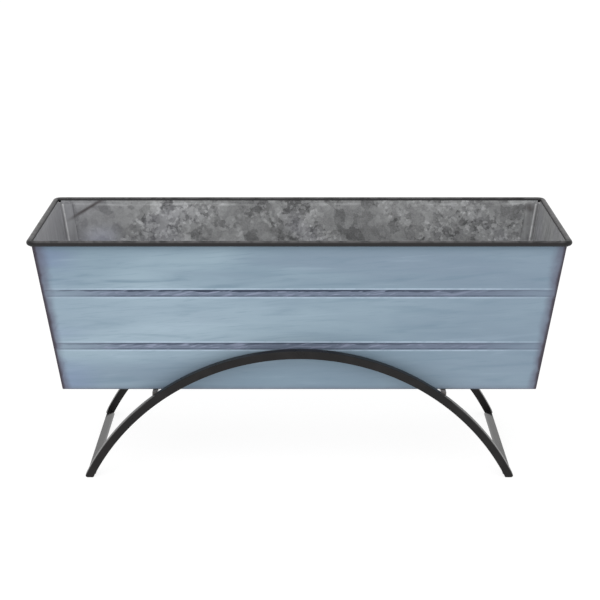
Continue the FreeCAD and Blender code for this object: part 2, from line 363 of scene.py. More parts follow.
@dataclass(frozen=True)
class Mark:
    """A straight mark on the back of the trough, in millimetres."""

    start: tuple[float, float]  # its place from left to right and up
    end: tuple[float, float]
    width: float  # from its middle to where it has faded out
    fade: float  # how far each end takes to fade in


class Recipe:
    """One material, built from nodes round a Principled shader."""

    def __init__(self, name: str) -> None:
        """Makes an empty material, with its shader and the place on the object in millimetres."""
        self.material = bpy.data.materials.new(name)
        self.material.use_nodes = True
        self.tree = self.material.node_tree
        self.shader = next(node for node in self.tree.nodes if node.type == "BSDF_PRINCIPLED")
        self.point = self.node("ShaderNodeTexCoord", {}, {}).outputs["Object"]
        parts = self.node("ShaderNodeSeparateXYZ", {}, {0: self.point})
        self.x, self.y, self.z = (Signal(self, output) / MM for output in parts.outputs)

    def node(self, kind: str, settings: dict, inputs: dict) -> bpy.types.Node:
        """Adds a node.

        Args:
            kind: the node's type.
            settings: its properties, by name.
            inputs: values or links of its sockets, by name or number.

        Returns:
            The node.
        """
        node = self.tree.nodes.new(kind)
        for name, value in settings.items():
            setattr(node, name, value)
        for key, value in inputs.items():
            if isinstance(value, Signal):
                value = value.socket
            if isinstance(value, bpy.types.NodeSocket):
                self.tree.links.new(value, node.inputs[key])
            else:
                node.inputs[key].default_value = value
        return node

    def stretch(self, rate: Triple, shift: Triple, lean: float) -> bpy.types.NodeSocket:
        """The place on the object, leaned about Y, scaled by a rate per metre and then shifted."""
        place = self.point
        if lean:
            settings = {"rotation_type": "Y_AXIS"}
            place = self.node("ShaderNodeVectorRotate", settings, {0: place, 3: lean}).outputs[0]
        settings = {"operation": "MULTIPLY_ADD"}
        return self.node("ShaderNodeVectorMath", settings, {0: place, 1: rate, 2: shift}).outputs[0]

    def noise(
        self,
        rate: Triple,
        detail: float = 3.0,
        twist: float = 0.0,
        shift: Triple = (0.0, 0.0, 0.0),
        lean: float = 0.0,
    ) -> Signal:
        """Cloudy noise from 0 to 1.

        Args:
            rate: how many clouds per metre on each axis.
            detail: how many finer layers it holds.
            twist: how far it is distorted.
            shift: moves the pattern, so that two noises differ.
            lean: how far it is turned about Y.

        Returns:
            The noise.
        """
        place = self.stretch(rate, shift, lean)
        inputs = {"Vector": place, "Scale": 1.0, "Detail": detail, "Distortion": twist}
        return Signal(self, self.node("ShaderNodeTexNoise", {}, inputs).outputs[0])

    def cells(self, rate: float, wobble: float, shift: Triple = (0.0, 0.0, 0.0)) -> Signal:
        """Flat patches of random tone from 0 to 1, with jagged borders.

        Args:
            rate: how many patches per metre.
            wobble: how far the borders wander, in patches.
            shift: moves the pattern.

        Returns:
            The tone of each patch.
        """
        place = self.stretch((rate, rate, rate), shift, 0.0)
        rough = {"Vector": place, "Scale": 1.4, "Detail": 5.0, "Roughness": 0.68}
        stir = self.node("ShaderNodeTexNoise", {}, rough)
        moved = self.node(
            "ShaderNodeVectorMath",
            {"operation": "MULTIPLY_ADD"},
            {0: stir.outputs[1], 1: (wobble, wobble, wobble), 2: place},
        )
        patches = self.node("ShaderNodeTexVoronoi", {}, {"Vector": moved.outputs[0], "Scale": 1.0})
        tone = self.node("ShaderNodeSeparateColor", {}, {0: patches.outputs["Color"]})
        return Signal(self, tone.outputs[0])

    def stroke(self, mark: Mark) -> Signal:
        """1 along a mark on the back half, falling to 0 at its width and its ends."""
        (start_x, start_z), (end_x, end_z) = mark.start, mark.end
        length = math.hypot(end_x - start_x, end_z - start_z)
        run_x, run_z = (end_x - start_x) / length, (end_z - start_z) / length
        from_x, from_z = self.x - start_x, self.z - start_z
        along = from_x * run_x + from_z * run_z
        aside = abs(from_x * run_z - from_z * run_x)
        ends = along.rise(0.0, mark.fade) * along.rise(length, length - mark.fade)
        return aside.rise(mark.width, 0.0) * ends * self.y.rise(0.0, 1.0)

    def blend(
        self,
        under: Union[Colour, bpy.types.NodeSocket],
        over: Union[Colour, bpy.types.NodeSocket],
        amount: Term,
    ) -> bpy.types.NodeSocket:
        """Lays one colour over another.

        Args:
            under: the colour beneath.
            over: the colour on top.
            amount: how much of it covers, from 0 to 1.

        Returns:
            The mixed colour.
        """
        settings = {"data_type": "RGBA", "clamp_factor": True}
        colours = [linear(c) if isinstance(c, tuple) else c for c in (under, over)]
        node = self.node("ShaderNodeMix", settings, {0: amount, 6: colours[0], 7: colours[1]})
        return node.outputs[2]

    def emboss(self, height: Signal, depth: float, strength: float = 1.0) -> None:
        """Raises the surface where height is large, by up to depth."""
        inputs = {"Height": height, "Distance": depth, "Strength": strength}
        bump = self.node("ShaderNodeBump", {}, inputs)
        self.tree.links.new(bump.outputs[0], self.shader.inputs["Normal"])

    def finish(self, **inputs: Union[Signal, float, bpy.types.NodeSocket]) -> bpy.types.Material:
        """Sets the shader's sockets, named with underscores for spaces, and gives the material."""
        for name, value in inputs.items():
            socket = self.shader.inputs[name.replace("_", " ").title().replace("Ior", "IOR")]
            if isinstance(value, Signal):
                value = value.socket
            if isinstance(value, bpy.types.NodeSocket):
                self.tree.links.new(value, socket)
            else:
                socket.default_value = value
        return self.material


# ---------------------------------------------------------------- the lines of the trough


@dataclass(frozen=True)
class WallLine:
    """A leaning wall: how far its inner face is from the middle at each height."""

    bead: float  # the middle of the rolled rim, from the middle of the trough
    top: float  # the inner face at the height of the rim wire
    lean: float  # how far it comes in for each metre down
    wire_height: float
    gauge: float

    def inner(self, height: float) -> float:
        """The inner face at a height."""
        return self.top - self.lean * (self.wire_height - height)

    def outer(self, height: float) -> float:
        """The outer face at a height."""
        return self.inner(height) + self.gauge


# ---------------------------------------------------------------- finishes


@dataclass(frozen=True)
class BlueWash:
    """Blue paint brushed thinly over dark metal, rubbed through at the edges and in the ribs. Light
    and
    shade are painted in too: a pool of light at the middle left, shade to the right, under the rim
    and low in the middle, and shade lines and highlights along the ribs.

    The sizes up to rib_half are the trough's own, in metres. The runs and places after them are in
    millimetres.
    """

    name: str
    along: Axis  # the direction that the panel runs in
    edge: WallLine  # the wall that the panel's sides meet
    base: float
    ribs: tuple[float, ...]
    rib_half: float
    # how dark the painted shade line under each rib's upper lip is
    rib_upper_shade: tuple[float, ...] = (0.60, 1.0)  # how dark the upper line of each rib is
    rib_calm: Run = (70.0, 230.0)  # where the ribs lose their streaks, to the right
    rib_band: Run = (6.0, 95.0)  # how the ribs' colour and lines grow, in from the edge
    rib_line: Run = (8.0, 110.0)
    rib_start: Run = (2.0, 8.0)
    # painted shade: the panels grow darker towards the right, as if lit from the left
    right_shade_run: Run = (-120.0, 280.0)
    bruise_side: Run = (62.0, 10.0)
    bruise_run: Run = (60.0, -160.0)
    # painted shade: the low middle of the front and back, round and under the arch, is darker
    middle_run: Run = (210.0, 60.0)
    arch_shade_height: Run = (215.0, 125.0)
    # painted light: a lighter patch at the middle left of a panel
    light_pool_x: float = -170.0
    light_pool_run: Run = (260.0, 20.0)
    light_pool_z: float = 185.0
    light_pool_height: Run = (75.0, 15.0)
    stroke_middle: float = 238.0
    stroke_reach: float = 16.0
    # painted shade under the rim
    under_rim_shade: Run = (16.0, 3.0)
    foot_stain: Run = (7.0, 1.0)
    foot_line: Run = (2.2, 0.8)
    rim_widen: Run = (90.0, 0.0)  # towards the rim the dark edge grows wider
    edge_spread: float = 13.0
    edge_growth: float = 7.0
    edge_ragged: float = 11.0
    edge_full: float = 1.5
    line_ragged: float = 5.0
    edge_line: Run = (4.8, 1.4)

    pale: Colour = (0.582, 0.662, 0.712)
    deep: Colour = (0.496, 0.576, 0.636)
    haze: Colour = (0.478, 0.545, 0.612)
    lilac: Colour = (0.455, 0.515, 0.650)
    teal: Colour = (0.420, 0.510, 0.575)
    mauve: Colour = (0.365, 0.370, 0.435)
    brown: Colour = (0.225, 0.198, 0.232)
    slate: Colour = (0.190, 0.230, 0.305)
    groove: Colour = (0.400, 0.440, 0.515)
    streak: Colour = (0.570, 0.600, 0.690)
    # pale brush strokes, and the painted highlights along the ribs
    pale_stroke_and_highlight: Colour = (0.720, 0.790, 0.860)
    light_pool: Colour = (0.622, 0.695, 0.748)

    def make(self) -> bpy.types.Material:
        """Mixes the material."""
        mix = Recipe(self.name)
        across = mix.x if self.along is Axis.X else mix.y
        height = mix.z
        line = self.edge
        gap = height * line.lean + line.outer(0.0) / MM - abs(across)
        cloud = mix.noise((4.0, 4.0, 15.0), twist=0.5, lean=0.02)
        veil = mix.noise((3.2, 3.2, 19.0), twist=0.7, shift=(6.0, 2.0, 4.0), lean=-0.03)
        brush = mix.noise((11.0, 11.0, 120.0), detail=4.0, twist=0.55, lean=0.035)
        hair = mix.noise((34.0, 34.0, 560.0), twist=0.3, shift=(3.0, 1.0, 2.0), lean=0.09)
        worn = mix.noise((70.0, 70.0, 55.0), detail=4.0, twist=0.6, shift=(9.0, 4.0, 7.0))

        colour = mix.blend(self.pale, self.deep, cloud.rise(0.34, 0.66))
        colour = mix.blend(colour, self.haze, veil.rise(0.46, 0.68) * 0.70)
        # painted shade, darker towards the right
        colour = mix.blend(colour, self.haze, mix.x.rise(*self.right_shade_run) * 0.60)
        bruise = veil.rise(0.36, 0.60) * gap.rise(*self.bruise_side) * mix.x.rise(*self.bruise_run)
        colour = mix.blend(colour, self.lilac, bruise * 0.48)
        # painted shade low in the middle, where the arch shades the wall
        middle = abs(mix.x).rise(*self.middle_run) * height.rise(*self.arch_shade_height)
        colour = mix.blend(colour, self.teal, middle * 0.34)
        # a painted pool of light at the middle left
        light_pool = abs(mix.x - self.light_pool_x).rise(*self.light_pool_run)
        light_pool = light_pool * abs(height - self.light_pool_z).rise(*self.light_pool_height)
        colour = mix.blend(colour, self.light_pool, light_pool * 0.55)
        over_rib = height.bump_at(self.stroke_middle, self.stroke_reach)
        colour = mix.blend(colour, self.teal, brush.rise(0.48, 0.76) * (0.38 + 0.44 * over_rib))
        colour = mix.blend(colour, self.pale_stroke_and_highlight, brush.rise(0.42, 0.22) * 0.12)
        colour = mix.blend(colour, self.teal, hair.rise(0.52, 0.78) * 0.32)
        # painted shade just under the rim's overhang
        rim_gap = line.wire_height / MM - height
        colour = mix.blend(colour, self.teal, rim_gap.rise(*self.under_rim_shade) * 0.50)
        foot_gap = height - self.base / MM
        stain = foot_gap.rise(*self.foot_stain) * (0.15 + 0.30 * worn)
        colour = mix.blend(colour, self.mauve, stain)
        colour = mix.blend(colour, self.brown, foot_gap.rise(*self.foot_line) * 0.50)

        dimple = brush * 0.6 + hair * 0.4
        for rib, wear in zip(self.ribs, self.rib_upper_shade):
            colour, dimple = self._rib(mix, colour, dimple, gap, height - rib / MM, worn, wear)

        ragged = gap + (worn - 0.5) * self.edge_ragged
        spread = self.edge_spread + rim_gap.rise(*self.rim_widen) * self.edge_growth
        colour = mix.blend(colour, self.mauve, ragged.rise(spread, self.edge_full) * 0.90)
        worn_line = (gap + (worn - 0.5) * self.line_ragged).rise(*self.edge_line)
        colour = mix.blend(colour, self.brown, worn_line * 0.90)
        mix.emboss(dimple, 0.12 * MM, 0.8)
        rough = 0.46 + 0.16 * brush + 0.08 * hair
        return mix.finish(base_color=colour, roughness=rough, specular_ior_level=0.30)

    def _rib(
        self,
        mix: Recipe,
        colour: bpy.types.NodeSocket,
        dimple: Signal,
        gap: Signal,
        rise: Signal,
        worn: Signal,
        wear: float,
    ) -> tuple[bpy.types.NodeSocket, Signal]:
        """Rubs the paint of one rib through, and paints shade lines and highlights along its edges.

        Args:
            mix: the material.
            colour: the colour so far.
            dimple: the relief so far.
            gap: how far a point is from the panel's edge.
            rise: how far it is above the middle of the rib.
            worn: the noise that breaks the lines up.
            wear: how dark its painted upper shade line is, up to 1.

        Returns:
            The colour and the relief with the rib.
        """
        half = self.rib_half / MM
        slant = mix.noise((56.0, 56.0, 430.0), twist=0.5, shift=(2.0, 5.0, 1.0), lean=0.16)
        dash = mix.noise((36.0, 36.0, 300.0), twist=0.5, shift=(8.0, 3.0, 6.0), lean=0.14)
        band_hold = gap.rise(*self.rib_band) * 0.60 + 0.40
        line_hold = (gap.rise(*self.rib_line) * 0.55 + 0.45) * gap.rise(*self.rib_start)
        calm = 1 - mix.x.rise(*self.rib_calm) * 0.60
        inside = 1 - abs(rise).rise(half * 0.92, half * 1.06)
        colour = mix.blend(colour, self.groove, inside * band_hold * 0.92)
        streaks = slant.rise(0.50, 0.64) * band_hold * band_hold * calm
        colour = mix.blend(colour, self.streak, inside * streaks * 0.62)
        # painted shade: a broken dark line under the rib's upper lip and a dark line along its
        # lower edge
        brow = rise.rise(half * -0.10, half * 0.82)
        wedge = ((dash + brow * 0.36 - 0.69) * 9).clamp() * inside
        sill = rise.bump_at(half * -0.84, half * 0.30) * (0.55 + 0.45 * worn.rise(0.35, 0.6))
        lines = (wedge * wear * calm + sill * 0.66).clamp()
        colour = mix.blend(colour, self.slate, lines * line_hold)
        # painted highlights: pale lines just above and below the rib
        above = rise.bump_at(half * 1.22, half * 0.30)
        below = rise.bump_at(half * -1.28, half * 0.34)
        shine = (above * 0.80 + below * 0.62) * (0.50 + 0.50 * worn.rise(0.30, 0.60))
        colour = mix.blend(colour, self.pale_stroke_and_highlight, shine.clamp() * line_hold)
        return colour, dimple + inside * slant * 0.8


@dataclass(frozen=True)
class Zinc:
    """Galvanised sheet: large and small crystals of zinc, each with its own tone and shine, with
    painted
    light: a highlight under the rim, a sheen at the left, shade along a crease and, on an end
    panel, a highlight and shade along the flange's fold and shade at the right end.

    Its runs and places are in millimetres.
    """

    name: str
    folds: Optional[tuple[WallLine, WallLine]] = None  # an end panel's folds; None is plain sheet

    dark: Colour = (0.400, 0.402, 0.405)
    light: Colour = (0.836, 0.841, 0.845)
    bloom: Colour = (0.640, 0.638, 0.675)
    bright: Colour = (0.980, 0.980, 0.980)
    sheen_tint: Colour = (0.800, 0.815, 0.880)
    # dark tone for a real stain and for painted shade
    stain_and_shade: Colour = (0.300, 0.270, 0.270)
    # painted shade along a crease on the left of the back
    crease: Mark = Mark((-296.0, 255.0), (-228.0, 295.5), 3.4, 34.0)
    # a painted sheen at the left of the back
    shine: Mark = Mark((-280.0, 232.0), (-215.0, 240.0), 24.0, 30.0)
    stain: Mark = Mark((278.0, 281.0), (294.0, 270.0), 8.0, 8.0)
    calm_run: Run = (-285.0, -190.0)  # the left of the back is calmer than the rest
    middle_run: Run = (200.0, 60.0)
    # painted highlight: a broken bright line just under the rim
    glint_height: float = 280.0
    glint_reach: float = 3.0
    # painted shade: the right end panel is darker inside
    right_end: Run = (200.0, 300.0)
    on_flange: Run = (3.8, 2.6)  # how near to a long wall's inner face a flange lies
    # a painted highlight along a flange's fold, with painted shade beside it
    fold_highlight_place: float = 4.6  # from the end wall's inner face
    fold_highlight_reach: float = 1.7
    shade_place: float = 2.0
    shade_reach: float = 1.6

    def make(self) -> bpy.types.Material:
        """Mixes the material."""
        mix = Recipe(self.name)
        large = mix.cells(58.0, 0.9)
        small = mix.cells(135.0, 1.1, shift=(4.0, 2.0, 9.0))
        flake = mix.cells(300.0, 1.2, shift=(1.0, 8.0, 5.0))
        feather = mix.noise((420.0, 420.0, 420.0), detail=4.0, twist=1.4)
        cloud = mix.noise((11.0, 11.0, 11.0), twist=0.6, shift=(1.0, 7.0, 3.0))
        calm = mix.x.rise(*self.calm_run) * 0.70 + 0.30
        busy = cloud.rise(0.36, 0.60) * calm
        tone = 0.40 + (large - 0.5) * 0.36 * calm + (small - 0.5) * (0.14 + 0.34 * busy)
        tone = tone + (flake.rise(0.78, 0.86) * 0.36 - flake.rise(0.20, 0.12) * 0.20) * busy
        tone = tone + (feather - 0.5) * 0.50 + (cloud - 0.5) * 0.30
        tone = tone - abs(mix.x).rise(*self.middle_run) * 0.09
        # a painted highlight just under the rim, broken up by noise
        lip = mix.z.bump_at(self.glint_height, self.glint_reach)
        glint = mix.noise((24.0, 24.0, 170.0), detail=4.0, shift=(5.0, 1.0, 2.0))
        tone = tone + lip * glint.rise(0.42, 0.60) * 0.34
        if self.folds:
            drawn = mix.noise((230.0, 230.0, 9.0), detail=4.0)
            # painted shade, darker at the right end
            tone = 0.12 + tone * 0.22 + drawn * 0.62 - mix.x.rise(*self.right_end) * 0.14
        colour = mix.blend(self.dark, self.light, tone.clamp())
        haze = cloud.rise(0.50, 0.70) * 0.30 + (1 - calm) * 0.35
        colour = mix.blend(colour, self.bloom, haze)
        # painted sheen: a pale bluish band at the left of the back
        colour = mix.blend(colour, self.sheen_tint, mix.stroke(self.shine) * 0.50)
        # painted shade along the crease
        colour = mix.blend(colour, self.stain_and_shade, mix.stroke(self.crease) * 0.85)
        colour = mix.blend(colour, self.stain_and_shade, mix.stroke(self.stain) * 0.60)
        if self.folds:
            side, end = self.folds
            off_side = side.inner(0.0) / MM + mix.z * side.lean - abs(mix.y)
            off_end = end.inner(0.0) / MM + mix.z * end.lean - abs(mix.x)
            flange = off_side.rise(*self.on_flange)
            # painted highlight along the flange's fold
            fold_highlight = flange * off_end.bump_at(self.fold_highlight_place, self.fold_highlight_reach)
            colour = mix.blend(colour, self.bright, fold_highlight * (0.45 + 0.45 * small))
            # painted shade just beside the fold
            shade = flange * off_end.bump_at(self.shade_place, self.shade_reach)
            colour = mix.blend(colour, self.stain_and_shade, shade * 0.30)
        mix.emboss(small * 0.4 + feather * 0.6, 0.06 * MM, 0.5)
        return mix.finish(base_color=colour, roughness=0.38 + 0.20 * large, metallic=0.35)


@dataclass(frozen=True)
class RimPatina:
    """The rolled rim: dark bronze-black, with a mottled painted highlight along its top."""

    name: str
    wire_height: float

    dark: Colour = (0.095, 0.088, 0.092)
    glint: Colour = (0.440, 0.435, 0.440)
    black: Colour = (0.045, 0.040, 0.045)
    crest_run: Run = (0.9, 3.1)  # above the middle of the wire
    corner_x: Run = (291.0, 298.0)
    corner_y: Run = (85.0, 94.0)

    def make(self) -> bpy.types.Material:
        """Mixes the material."""
        mix = Recipe(self.name)
        mottle = mix.noise((90.0, 90.0, 90.0), detail=4.0, twist=0.8)
        grain = mix.noise((700.0, 700.0, 700.0), detail=2.0)
        # painted highlight along the top of the rim, mottled
        crest = (mix.z - self.wire_height / MM).rise(*self.crest_run)
        corner = abs(mix.x).rise(*self.corner_x) * (-mix.y).rise(*self.corner_y)
        colour = mix.blend(self.dark, self.glint, crest * mottle.rise(0.26, 0.66) * 0.50)
        colour = mix.blend(colour, self.black, corner * 0.85)
        mix.emboss(mottle * 0.7 + grain * 0.3, 0.10 * MM, 0.6)
        rough = 0.30 + 0.20 * mottle
        return mix.finish(base_color=colour, roughness=rough, specular_ior_level=0.32)


@dataclass(frozen=True)
class StandPaint:
    """Satin black paint on drawn steel bar, with the faint pebble of a sprayed coat."""

    name: str
    shine: float  # the shader's specular level
    blur: float  # its least roughness

    black: Colour = (0.080, 0.077, 0.078)
    dusty: Colour = (0.140, 0.132, 0.132)

    def make(self) -> bpy.types.Material:
        """Mixes the material."""
        mix = Recipe(self.name)
        pebble = mix.noise((520.0, 520.0, 520.0))
        patch = mix.noise((45.0, 45.0, 45.0), twist=0.5)
        colour = mix.blend(self.black, self.dusty, patch.rise(0.38, 0.70) * 0.5 + pebble * 0.4)
        mix.emboss(pebble * 0.7 + patch * 0.3, 0.05 * MM, 0.5)
        rough = self.blur + 0.10 * patch
        return mix.finish(base_color=colour, roughness=rough, specular_ior_level=self.shine)


# ---------------------------------------------------------------- the trough


@dataclass
class Trough:
    """The tapered box of five sheets, its rims rolled round a wire."""

    gauge: float = 0.8 * MM
    bead_radius: float = 3.3 * MM
    wire_radius: float = 2.3 * MM
    wire_bend: float = 6.0 * MM
    end_inset: float = 24.6 * MM
    side_inset: float = 10.8 * MM
    ribs: tuple[float, ...] = (159.6 * MM, 224.6 * MM)
    rib_half: float = 4.2 * MM
    rib_sink: float = 1.2 * MM
    rib_stop: float = 5.0 * MM  # from a panel's side to the end of a rib
    rib_run_out: float = 16.0 * MM  # how long a rib takes to reach its depth
    ledge: float = 8.0 * MM  # the turned-in foot of the front and back
    lap: float = 16.0 * MM  # an end panel's flanges
    slack: float = 0.1 * MM  # between sheets that lie on each other
    foot_bend: float = 0.9 * MM
    flange_bend: float = 0.8 * MM
    bend_steps: int = 3
    curl_turn: float = math.radians(285)
    curl_steps: int = 19
    wire_sides: int = 20
    wire_turns: int = 8
    ring_gap: float = 0.4 * MM  # from the end of a wire's run to the ring that holds it straight

    def __post_init__(self) -> None:
        """Takes the trough's outer sizes from the CAD panels."""
        front_low, front_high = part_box("front_panel")
        end_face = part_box("right_end_panel")[1].x
        self.base = front_low.z
        self.wire_height = front_high.z - self.bead_radius
        rise = self.wire_height - self.base
        side_bead = -front_low.y - self.bead_radius
        end_bead = end_face - self.bead_radius
        self.side, self.end = (
            WallLine(bead, bead - self.bead_radius, inset / rise, self.wire_height, self.gauge)
            for bead, inset in ((side_bead, self.side_inset), (end_bead, self.end_inset))
        )
        patina = RimPatina("rim_patina", self.wire_height).make()
        zinc = Zinc("galvanised_spangle").make()
        drawn = Zinc("galvanised_streaked", (self.side, self.end)).make()
        half = self.rib_half
        long_wash = BlueWash("blue_wash_long", Axis.X, self.end, self.base, self.ribs, half).make()
        end_wash = BlueWash("blue_wash_end", Axis.Y, self.side, self.base, (), half).make()
        self.patina = patina
        self.zinc = zinc
        self.long_coats = [zinc, long_wash, patina, patina]
        self.end_coats = [drawn, end_wash, patina, patina]

    def build(self) -> None:
        """Builds every piece of the trough."""
        for side, node in ((Side.NEAR, "front_panel"), (Side.FAR, "back_panel")):
            self.long_panel(side, node)
        for side, node in ((Side.NEAR, "left_end_panel"), (Side.FAR, "right_end_panel")):
            self.end_panel(side, node)
        self.bottom_tray()
        self.rim_wire()

    def flange_face(self, height: float) -> float:
        """How far from the middle the inner face of an end panel's flange lies."""
        return self.side.inner(height) - self.rib_sink - self.slack - self.gauge

    def _wall(self, axis: Axis) -> WallLine:
        """The line of the two walls that run along an axis."""
        return self.side if axis is Axis.X else self.end

    def _leaning_sheet(
        self, node: str, axis: Axis, way: int, foot: float, half_width: Callable[[float], float]
    ) -> Workpiece:
        """Starts a panel: a flat sheet that leans with its wall and narrows towards its foot.

        Args:
            node: the CAD node that it stands for.
            axis: the direction that the panel runs in.
            way: -1 or 1, the side of the trough that it closes.
            foot: the height of its lower edge.
            half_width: gives half its width at a height.

        Returns:
            The sheet, in edit mode.
        """
        line = self._wall(axis)
        rise = self.wire_height - foot
        top = axis.across.vector(way * line.inner(self.wire_height))
        half_top = half_width(self.wire_height)
        piece = Workpiece.plane(
            f"{node}_sheet",
            (math.pi / 2, 0, math.pi / 2 * axis.value),
            axis.vector(half_top * 2) + axis.across.vector(1) + at(z=rise),
            top + at(z=foot + rise / 2),
        )
        piece.pick(Pick.EDGE, lambda p: p.z < foot + TOUCH)
        narrowing = axis.vector(half_width(foot) / half_top - 1)
        piece.scale(at(1, 1, 1) + narrowing, top + at(z=foot))
        piece.move(axis.across.vector(-way * line.lean * rise))
        return piece

    def _roll_rim(self, piece: Workpiece, axis: Axis, way: int) -> None:
        """Rolls a panel's top edge outwards round the wire, stopping short of the corners.

        Args:
            piece: the sheet, upright, in edit mode.
            axis: the direction that the panel runs in.
            way: -1 or 1, the side of the trough that it closes.
        """
        stop = self._wall(axis.across).bead - self.wire_bend
        neck = self.wire_height - self.bead_radius
        for height in (neck, neck + self.gauge):
            piece.cut(at(z=height), UP)
        piece.pick(Pick.EDGE, lambda p: p.z > self.wire_height - TOUCH)
        centre = axis.across.vector(way * self._wall(axis).bead) + at(z=self.wire_height)
        turn = axis.vector(-way if axis is Axis.X else way)
        piece.spin(centre, turn, self.curl_turn, self.curl_steps)
        for end in (-1, 1):
            found = piece.pick(
                Pick.VERT,
                lambda p: p.z > neck + self.gauge / 2 and p[axis.value] * end > stop - TOUCH,
            )
            if found:
                piece.scale(at(1, 1, 1) - axis.vector(1), axis.vector(end * stop))

    def _coat(self, piece: Workpiece, axis: Axis, way: int) -> None:
        """Gives a panel its coats, with patina on the rolled rim, and the sheet its thickness.

        A sheet's coats are the inside's, the outside's, the rim's inside and the rim's outside. The
        faces that thickness adds on the outside take the coat after their own.
        """
        piece.wear(self.long_coats if axis is Axis.X else self.end_coats)
        rim_coat = 2
        lip = self.wire_height - self.bead_radius * 0.35
        below_rim = self.wire_height - 20 * MM
        piece.face_towards(at(z=self.wire_height), lambda p: p.z < below_rim)

        def on_rim(p: Vector) -> bool:
            """Whether a face's middle is on the roll, or outside its wall."""
            outside = p[axis.across.value] * way - self._wall(axis).outer(p.z)
            return p.z > lip or outside > self.gauge

        piece.paint(on_rim, rim_coat)
        piece.modify(
            "SOLIDIFY", thickness=self.gauge, offset=-1.0, use_even_offset=True, material_offset=1
        )

    def long_panel(self, side: Side, node: str) -> None:
        """The front or back: a ribbed wall, turned in below and rolled outwards above.

        Args:
            side: near for the front and far for the back.
            node: the CAD node that it stands for.
        """
        way = side.value
        foot = self.base + self.gauge
        foot_y = way * self.side.inner(foot)
        half_foot = self.end.outer(foot)
        piece = self._leaning_sheet(node, Axis.X, way, foot, self.end.outer)
        inward = at(0, -way, -self.side.lean).normalized()
        for rib in self.ribs:
            self._press_rib(piece, rib, inward)
        self._roll_rim(piece, Axis.X, way)
        piece.pick(Pick.EDGE, lambda p: p.z < foot + TOUCH)
        piece.extrude(at(y=-way * self.ledge))
        piece.scale(at((half_foot - self.ledge) / half_foot, 1, 1), at(0, foot_y, foot))
        piece.pick(Pick.EDGE, lambda p: abs(p.z - foot) < TOUCH and abs(p.y - foot_y) < TOUCH)
        piece.bevel(self.foot_bend, self.bend_steps)
        self._coat(piece, Axis.X, way)
        piece.release("trough", "blue_wash", node)

    def _press_rib(self, piece: Workpiece, rib: float, inward: Vector) -> None:
        """Presses one rib into a long panel, running out to nothing before each end.

        Args:
            piece: the flat, leaning wall.
            rib: the height of the rib's middle.
            inward: the direction that it is pressed in.
        """
        depths = {1.0: 0.0, 0.84: 0.42, 0.62: 0.86, 0.30: 1.0}  # by share of the rib's half height
        for share in depths:
            for way in (-1, 1):
                piece.cut(at(z=rib + way * share * self.rib_half), UP)
        stop = self.end.outer(rib) - self.rib_stop
        for place in (stop, stop - self.rib_run_out / 2, stop - self.rib_run_out):
            for way in (-1, 1):
                piece.cut(at(x=way * place), at(x=1))
        near = TOUCH * 2
        for share, depth in depths.items():
            for reach in (stop - near, stop - self.rib_run_out * 0.75):
                level = share * self.rib_half
                found = piece.pick(
                    Pick.VERT, lambda p: abs(abs(p.z - rib) - level) < near and abs(p.x) < reach
                )
                if found and depth:
                    piece.move(inward * self.rib_sink * depth / 2)

    def end_panel(self, side: Side, node: str) -> None:
        """An end: a plain wall, rolled outwards above, with flanges inside the front and back.

        Args:
            side: near for the left and far for the right.
            node: the CAD node that it stands for.
        """
        way = side.value
        piece = self._leaning_sheet(node, Axis.Y, way, self.base, self.flange_face)
        low = self.base + self.gauge + self.slack
        high = self.wire_height - self.bead_radius - self.gauge / 2
        for height in (low, high):
            piece.cut(at(z=height), UP)
        self._roll_rim(piece, Axis.Y, way)
        middle = (low + high) / 2

        def on_fold(p: Vector) -> bool:
            """Whether an edge's middle is on the fold of a flange."""
            return abs(p.z - middle) < MM and abs(abs(p.y) - self.flange_face(p.z)) < TOUCH * 2

        piece.pick(Pick.EDGE, on_fold)
        piece.extrude(at(x=-way * self.lap))
        wall = self.end.inner(middle)
        piece.pick(Pick.EDGE, lambda p: on_fold(p) and abs(abs(p.x) - wall) < TOUCH * 2)
        piece.bevel(self.flange_bend, self.bend_steps)
        self._coat(piece, Axis.Y, way)
        piece.release("trough", "blue_wash", node)

    def bottom_tray(self) -> None:
        """The floor of the trough: a plate on the ledges, with its ends turned up."""
        top = self.base + self.gauge * 2 + self.slack
        lip = top - self.gauge + self.ledge
        half_x = self.end.inner(top) - self.slack - self.gauge
        half_y = self.side.inner(self.base) - self.rib_sink - self.gauge - self.slack * 2
        size = at(half_x * 2, half_y * 2, 1)
        piece = Workpiece.plane("bottom_panel_tray", (0, 0, 0), size, at(z=top))
        for way in (-1, 1):
            piece.pick(Pick.EDGE, lambda p: p.x * way > half_x - TOUCH)
            out = (self.end.inner(lip) - self.end.inner(top)) * way
            piece.extrude(at(out, 0, lip - top))
        piece.pick(Pick.EDGE, lambda p: abs(abs(p.x) - half_x) < TOUCH and p.z < top + TOUCH)
        piece.bevel(self.foot_bend, self.bend_steps)
        piece.face_towards(UP, lambda p: True)
        piece.modify("SOLIDIFY", thickness=self.gauge, offset=-1.0, use_even_offset=True)
        piece.wear([self.zinc])
        piece.release("trough", "galvanised", "bottom_panel")

